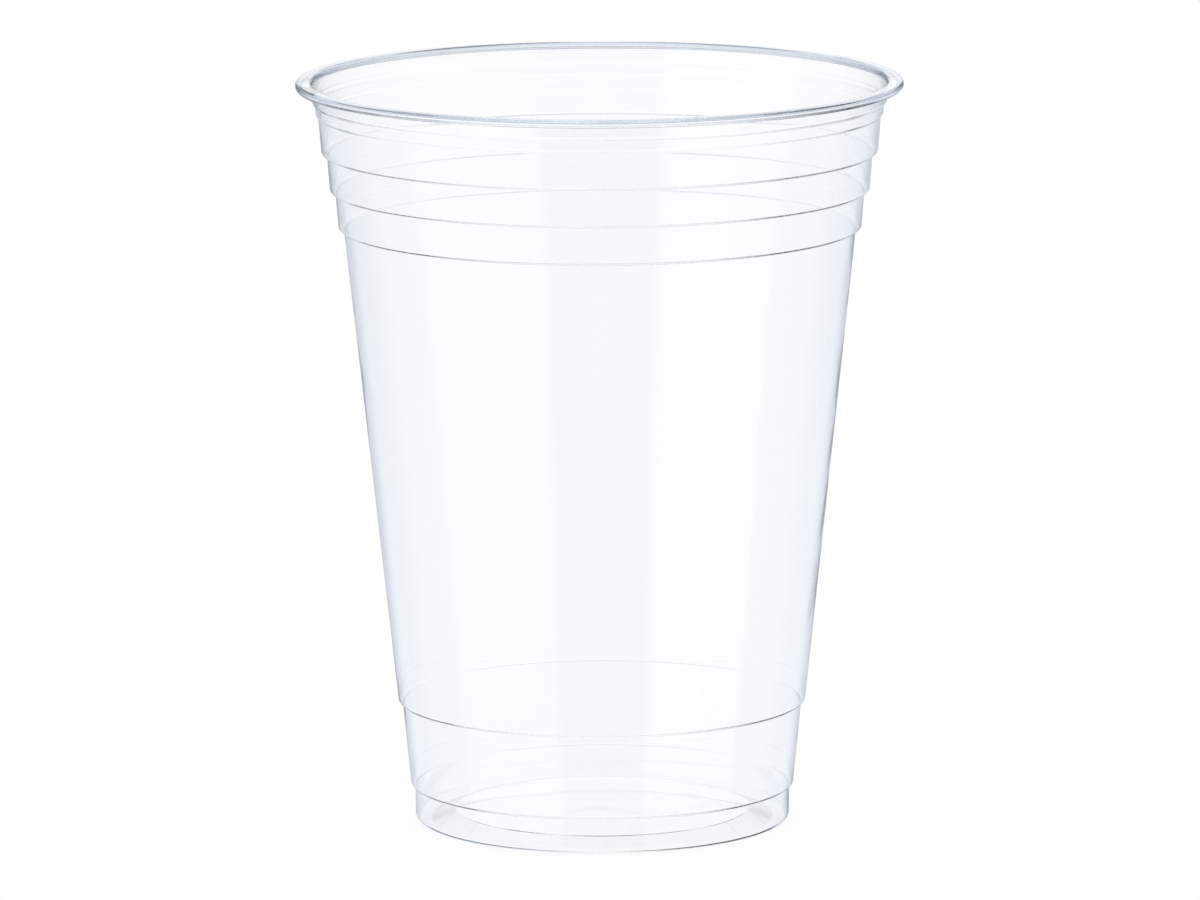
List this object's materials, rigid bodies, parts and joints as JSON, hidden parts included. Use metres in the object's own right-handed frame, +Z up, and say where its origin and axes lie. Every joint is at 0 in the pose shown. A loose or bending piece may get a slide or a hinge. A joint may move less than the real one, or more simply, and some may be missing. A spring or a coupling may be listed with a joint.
{
  "type": "plastic disposable cup",
  "caption": "Clear thin-walled tapered drinking cup with a rolled lip, stepped bands under it, and a recessed base.",
  "frame": {"origin": "on the cup's axis, in the plane of the stand ring that it rests on", "axes": "+Z up along the cup's axis, out of its open mouth; X and Y are alike, as the cup is round"},
  "size_m": [0.098, 0.098, 0.121],
  "materials": {
    "clear_sheet": "clear, glossy, almost colourless"
  },
  "bodies": {
    "root": {"cup": "clear_sheet"}
  },
  "joints": []
}
